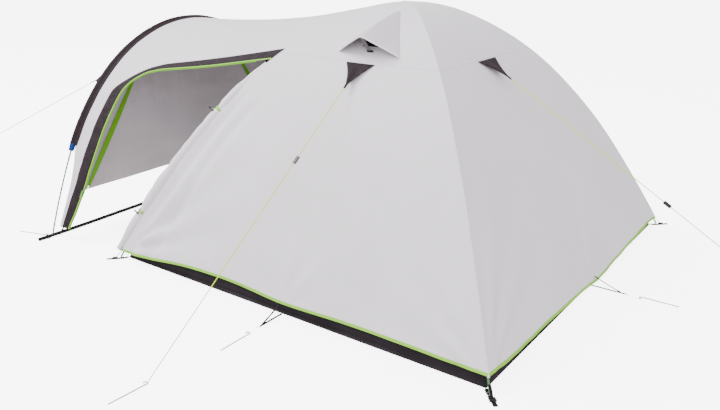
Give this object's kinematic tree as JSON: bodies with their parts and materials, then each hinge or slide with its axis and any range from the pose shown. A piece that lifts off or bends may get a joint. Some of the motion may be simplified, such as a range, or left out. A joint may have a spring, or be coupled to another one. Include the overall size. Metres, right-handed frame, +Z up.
{
  "type": "dome tent",
  "caption": "Dome tent on crossing poles with an arched porch, inner tent, doors, vents, guy lines and a groundsheet tub.",
  "frame": {"origin": "on the ground at the centre of the square groundsheet", "axes": "+Z up; -Y towards the porch and its front door; +X towards the side whose porch door is rolled open"},
  "size_m": [3.3924, 5.6138, 1.3],
  "materials": {
    "fly_cloth": "matte",
    "lined_cloth": "matte",
    "charcoal_cloth": "matte",
    "trim_green": "matte",
    "sleeve_blue": "matte",
    "fibreglass": "gloss",
    "steel": "satin",
    "webbing": "matte",
    "black_plastic": "satin",
    "grey_strut": "matte",
    "guy_cord": "matte",
    "tub_cloth": "satin",
    "inner_cloth": "matte",
    "insect_mesh": "matte"
  },
  "bodies": {
    "tent": {"corner_straps": "webbing", "far_vent_hood": "fly_cloth", "fly_corner_straps": "webbing", "fly_far_side": "fly_cloth", "fly_near_side": "fly_cloth", "fly_peg_straps": "webbing", "fly_rear_side": "fly_cloth", "front_door_zips": "trim_green", "gear_pockets": "inner_cloth", "groundsheet_tub": "tub_cloth", "guy_patches": "charcoal_cloth", "guy_pegs": "steel", "guy_tabs": "webbing", "hem_binding": "trim_green", "inner_door_zip": "trim_green", "inner_far_side": "inner_cloth", "inner_front_side": "inner_cloth", "inner_near_side": "inner_cloth", "inner_rear_side": "inner_cloth", "inner_tent_clips": "black_plastic", "lantern_loop": "inner_cloth", "lower_dome_pole": "fibreglass", "near_door_roll": "fly_cloth", "near_guy_line": "guy_cord", "near_vent_hood": "fly_cloth", "peg_loops": "webbing", "pole_ferrules": "steel", "porch_facings": "fly_cloth", "porch_front_wall": "lined_cloth", "porch_ground_strap": "webbing", "porch_guy_line": "guy_cord", "porch_pole": "fibreglass", "porch_roof": "fly_cloth", "porch_sleeve": "charcoal_cloth", "porch_storm_flaps": "charcoal_cloth", "rear_guy_line": "guy_cord", "ring_pins": "steel", "roll_ties": "fly_cloth", "shock_cords": "guy_cord", "side_door_zips": "trim_green", "sleeve_ends": "sleeve_blue", "strap_buckles": "black_plastic", "tent_pegs": "steel", "upper_dome_pole": "fibreglass", "vent_meshes": "insect_mesh"},
    "near_vent_strut": {"near_vent_strut": "grey_strut"},
    "far_vent_strut": {"far_vent_strut": "grey_strut"},
    "near_guy_slider": {"near_guy_slider": "black_plastic"},
    "rear_guy_slider": {"rear_guy_slider": "black_plastic"},
    "porch_guy_slider": {"porch_guy_slider": "black_plastic"},
    "near_zip_slider": {"near_zip_slider": "black_plastic"},
    "far_zip_slider": {"far_zip_slider": "black_plastic"},
    "front_zip_slider_near": {"front_zip_slider_near": "black_plastic"},
    "front_zip_slider_far": {"front_zip_slider_far": "black_plastic"},
    "far_door": {"far_door": "fly_cloth"},
    "front_door": {"front_door": "lined_cloth"},
    "inner_door": {"inner_door": "inner_cloth", "inner_door_mesh": "insect_mesh"},
    "upper_toggle": {"upper_toggle": "black_plastic"},
    "lower_toggle": {"lower_toggle": "black_plastic"}
  },
  "joints": [
    {"name": "near_vent_strut_fold", "type": "hinge", "parent": "tent", "child": "near_vent_strut", "pos_m": [0.41446, 0.06, 1.10523], "axis": [0, -1, 0], "range_deg": [0, 70], "deforming": ["near_vent_hood"]},
    {"name": "far_vent_strut_fold", "type": "hinge", "parent": "tent", "child": "far_vent_strut", "pos_m": [-0.41446, 0.06, 1.10523], "axis": [0, 1, 0], "range_deg": [0, 70], "deforming": ["far_vent_hood"]},
    {"name": "near_guy_slide", "type": "slide", "parent": "tent", "child": "near_guy_slider", "axis": [0.7769, -0.0421, -0.6282], "range_m": [-0.3, 0.6]},
    {"name": "rear_guy_slide", "type": "slide", "parent": "tent", "child": "rear_guy_slider", "axis": [-0.0366, 0.8488, -0.5275], "range_m": [-0.5, 0.6]},
    {"name": "porch_guy_slide", "type": "slide", "parent": "tent", "child": "porch_guy_slider", "axis": [0.3934, -0.796, -0.46], "range_m": [-0.6, 0.4]},
    {"name": "near_zip_slide", "type": "slide", "parent": "tent", "child": "near_zip_slider", "axis": [-0.4069, 0.1756, 0.8964], "range_m": [0, 0.06]},
    {"name": "far_zip_slide", "type": "slide", "parent": "tent", "child": "far_zip_slider", "axis": [0.3867, 0.1727, 0.9059], "range_m": [0, 0.06]},
    {"name": "front_zip_slide_near", "type": "slide", "parent": "tent", "child": "front_zip_slider_near", "axis": [-0.5704, 0, 0.8214], "range_m": [0, 0.7]},
    {"name": "front_zip_slide_far", "type": "slide", "parent": "tent", "child": "front_zip_slider_far", "axis": [0.5704, 0, 0.8214], "range_m": [0, 0.7]},
    {"name": "far_door_swing", "type": "hinge", "parent": "tent", "child": "far_door", "pos_m": [-1.11335, -1.07476, 0.10764], "axis": [-0.4502, -0.44, -0.777], "range_deg": [0, 70]},
    {"name": "front_door_lift", "type": "hinge", "parent": "tent", "child": "front_door", "pos_m": [0, -1.6476, 0.8615], "axis": [-1, 0, 0], "range_deg": [0, 80]},
    {"name": "inner_door_drop", "type": "hinge", "parent": "tent", "child": "inner_door", "pos_m": [0, -0.97734, 0.1745], "axis": [1, 0, 0], "range_deg": [0, 60]},
    {"name": "upper_toggle_turn", "type": "hinge", "parent": "tent", "child": "upper_toggle", "pos_m": [0.69911, -0.72509, 0.78233], "axis": [0.9535, -0.286, 0.0953], "range_deg": [-45, 45]},
    {"name": "lower_toggle_turn", "type": "hinge", "parent": "tent", "child": "lower_toggle", "pos_m": [0.9974, -1.02338, 0.25008], "axis": [0.9535, -0.286, 0.0953], "range_deg": [-45, 45]}
  ]
}
